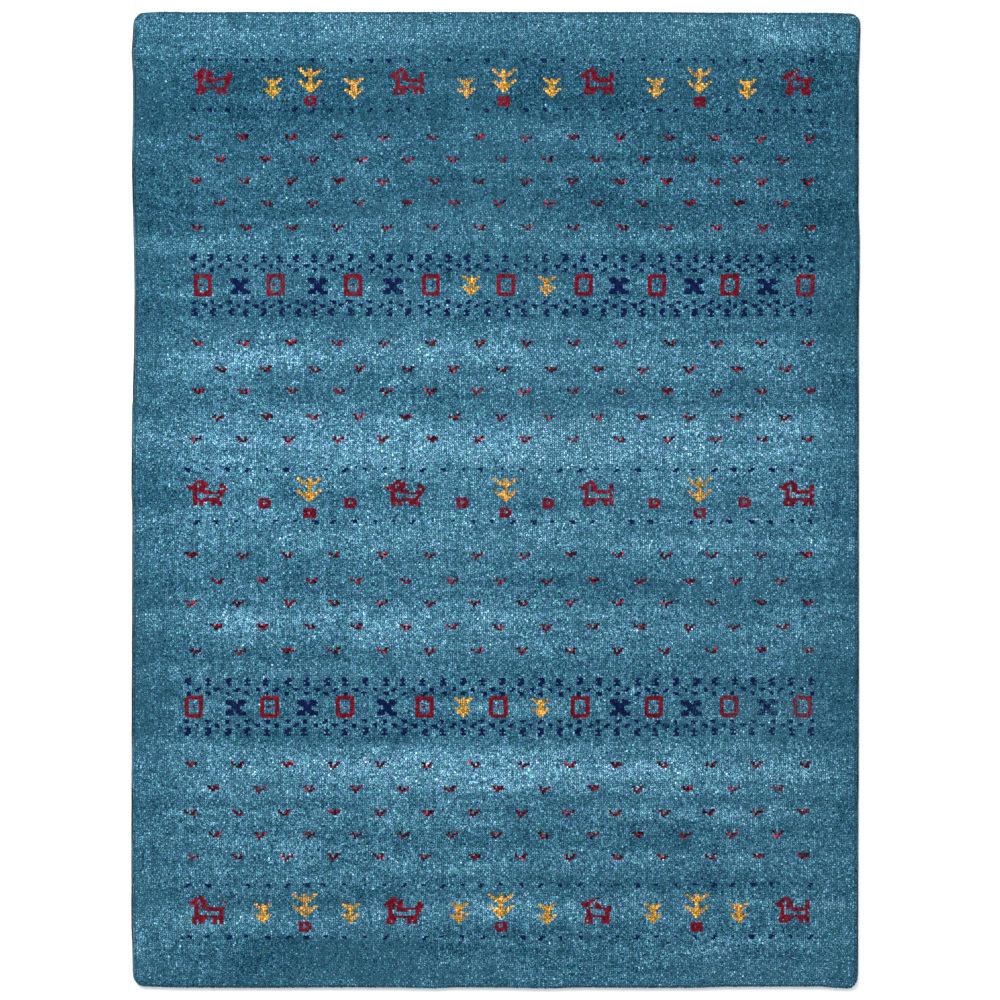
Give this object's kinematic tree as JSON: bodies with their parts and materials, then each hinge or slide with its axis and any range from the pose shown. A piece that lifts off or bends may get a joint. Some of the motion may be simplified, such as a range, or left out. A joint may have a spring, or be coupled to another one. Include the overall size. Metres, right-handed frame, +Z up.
{
  "type": "hand-knotted rug",
  "caption": "Rectangular hand-knotted wool rug lying flat, with a low cut pile, softly rounded corners, overcast sides and plain ends without fringe; teal-blue field with small figured bands.",
  "frame": {"origin": "on the floor, under the middle of the rug's bounding box", "axes": "+Y along the rug's length towards its top end as pictured, +X towards its right side, +Z up from the floor through the pile"},
  "size_m": [1.494, 1.9998, 0.015],
  "materials": {
    "wool_pile": "matt cut wool pile in shaded teal blue, with dark red, navy and ochre figures",
    "selvedge_wool": "matt grey-blue wool wraps"
  },
  "bodies": {
    "root": {"knotted_rug": "wool_pile", "selvedge_left": "selvedge_wool", "selvedge_right": "selvedge_wool"}
  },
  "joints": []
}
